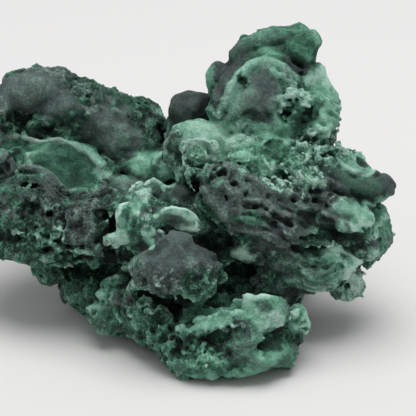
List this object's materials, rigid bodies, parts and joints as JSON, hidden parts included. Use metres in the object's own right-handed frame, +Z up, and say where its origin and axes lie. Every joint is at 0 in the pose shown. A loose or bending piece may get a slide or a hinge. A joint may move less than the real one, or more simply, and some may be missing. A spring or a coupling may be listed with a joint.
{
  "type": "malachite specimen",
  "caption": "Rough fibrous malachite mineral specimen: one lumpy, hollowed natural mass that stands on worn feet for display.",
  "frame": {"origin": "on the resting plane, under the centre of the specimen's bounding box", "axes": "+X along the length, towards the high pinnacle's side; +Y from front to back; +Z up"},
  "size_m": [0.0894, 0.0632, 0.0589],
  "materials": {
    "mineral": "matte"
  },
  "bodies": {
    "root": {"malachite": "mineral"}
  },
  "joints": []
}
